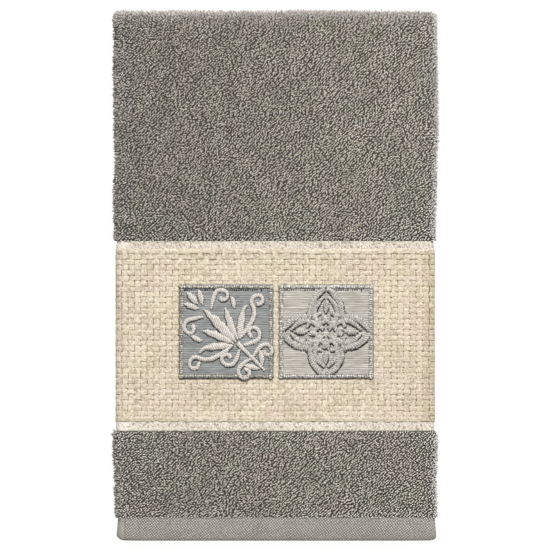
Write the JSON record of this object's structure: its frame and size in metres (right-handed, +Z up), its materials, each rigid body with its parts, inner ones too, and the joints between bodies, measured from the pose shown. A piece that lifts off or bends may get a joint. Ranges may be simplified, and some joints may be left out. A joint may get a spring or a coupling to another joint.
{
  "type": "folded hand towel",
  "caption": "Flat folded terry hand towel with a cream linen band across its front and square embroidered patches side by side.",
  "frame": {"origin": "under the middle of the folded towel, on the surface it lies on", "axes": "+X to the right as the patches are read, +Y along the towel from the hem to the cross fold, +Z up from the surface, out of the decorated face"},
  "size_m": [0.2036, 0.3304, 0.021],
  "materials": {
    "terry": "warm grey looped cotton pile, smooth woven hem",
    "linen": "cream, coarse plain weave of thick soft yarn",
    "slate_satin": "slate ribbed satin with pale silver embroidery",
    "silver_satin": "silver ribbed satin with embroidery of its own colour"
  },
  "bodies": {
    "root": {"towel": "terry", "linen_band": "linen", "leaf_patch": "slate_satin", "scroll_patch": "silver_satin"}
  },
  "joints": []
}
